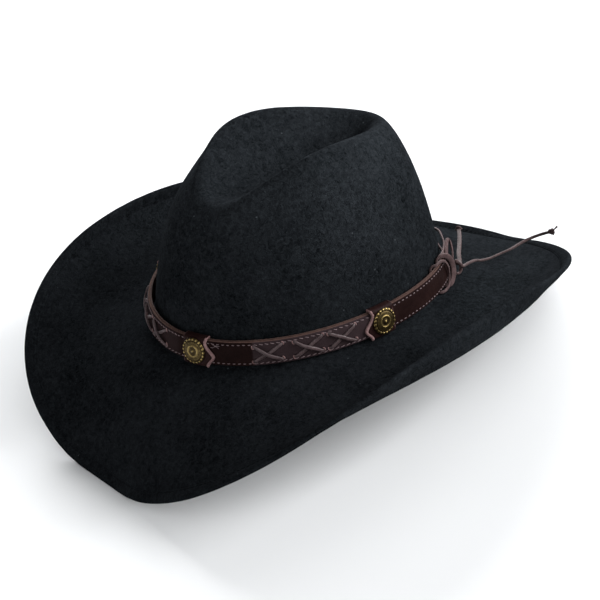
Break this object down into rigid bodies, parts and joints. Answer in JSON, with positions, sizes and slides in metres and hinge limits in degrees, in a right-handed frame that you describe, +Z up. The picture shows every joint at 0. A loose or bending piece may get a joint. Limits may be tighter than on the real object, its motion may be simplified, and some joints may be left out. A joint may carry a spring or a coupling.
{
  "type": "cowboy hat",
  "caption": "Felt cowboy hat with a pinched teardrop crown, a curled brim and a laced leather hatband with domed metal conchos.",
  "frame": {"origin": "on the table plane, under the middle of the hat's bounding box", "axes": "+Z up with the hat resting on the front and back dips of its brim, front of the hat towards -Y, wearer's left towards +X"},
  "size_m": [0.3218, 0.361, 0.1687],
  "materials": {
    "black_felt": "matt wool felt with a soft nap",
    "edge_wire": "drawn wire",
    "black_thread": "twisted thread",
    "black_leather": "smooth satin",
    "reed": "matt cord",
    "ribbon": "ribbed ribbon",
    "label": "blank woven label",
    "tan_leather": "raw cut edge",
    "brown_leather": "dyed, semi-gloss",
    "pale_thread": "waxed thread",
    "lace": "suede lace",
    "antique_brass": "aged, worn on the high spots",
    "screw_brass": "plain brass"
  },
  "bodies": {
    "hat": {"felt_body": "black_felt", "brim_edge_wire": "edge_wire", "brim_edge_stitch": "black_thread", "sweatband": "black_leather", "sweatband_reed": "reed", "sweatband_stitch": "black_thread", "sweatband_bow": "ribbon", "size_label": "label"},
    "hatband": {"hatband_backing": "tan_leather", "hatband_front": "brown_leather", "hatband_stitch_lower": "pale_thread", "hatband_stitch_upper": "pale_thread", "lace_cross_1": "lace", "lace_cross_2": "lace", "lace_cross_3": "lace", "keeper_1": "brown_leather", "keeper_2": "brown_leather", "keeper_3": "brown_leather", "keeper_4": "brown_leather", "tie_lace": "lace", "tie_knot": "lace"},
    "concho_body_1": {"concho_1": "antique_brass", "concho_screw_1": "screw_brass"},
    "concho_body_2": {"concho_2": "antique_brass", "concho_screw_2": "screw_brass"},
    "concho_body_3": {"concho_3": "antique_brass", "concho_screw_3": "screw_brass"},
    "concho_body_4": {"concho_4": "antique_brass", "concho_screw_4": "screw_brass"},
    "tail_long_body": {"tie_tail_long": "lace"},
    "tail_short_body": {"tie_tail_short": "lace"}
  },
  "joints": [
    {"name": "hatband_lift", "type": "slide", "parent": "hat", "child": "hatband", "axis": [0, 0.1132, 0.9936], "range_m": [0, 0.14]},
    {"name": "concho_1_spin", "type": "hinge", "parent": "hatband", "child": "concho_body_1", "pos_m": [0.08707, -0.00622, 0.06502], "axis": [0.9944, -0.0091, 0.1054], "continuous": true},
    {"name": "concho_2_spin", "type": "hinge", "parent": "hatband", "child": "concho_body_2", "pos_m": [0.02013, -0.1008, 0.06951], "axis": [0.2436, -0.945, 0.2184], "continuous": true},
    {"name": "concho_3_spin", "type": "hinge", "parent": "hatband", "child": "concho_body_3", "pos_m": [-0.07638, -0.04899, 0.06853], "axis": [-0.9105, -0.3869, 0.1462], "continuous": true},
    {"name": "concho_4_spin", "type": "hinge", "parent": "hatband", "child": "concho_body_4", "pos_m": [-0.0582, 0.07267, 0.05354], "axis": [-0.7562, 0.6539, 0.0247], "continuous": true},
    {"name": "tail_long_swing", "type": "hinge", "parent": "hatband", "child": "tail_long_body", "pos_m": [0.0577, 0.08972, 0.04762], "axis": [0.9995, 0.0321, 0], "range_deg": [0, 60]},
    {"name": "tail_short_swing", "type": "hinge", "parent": "hatband", "child": "tail_short_body", "pos_m": [0.05361, 0.08977, 0.04356], "axis": [0.6877, 0.726, 0], "range_deg": [0, 50]}
  ]
}
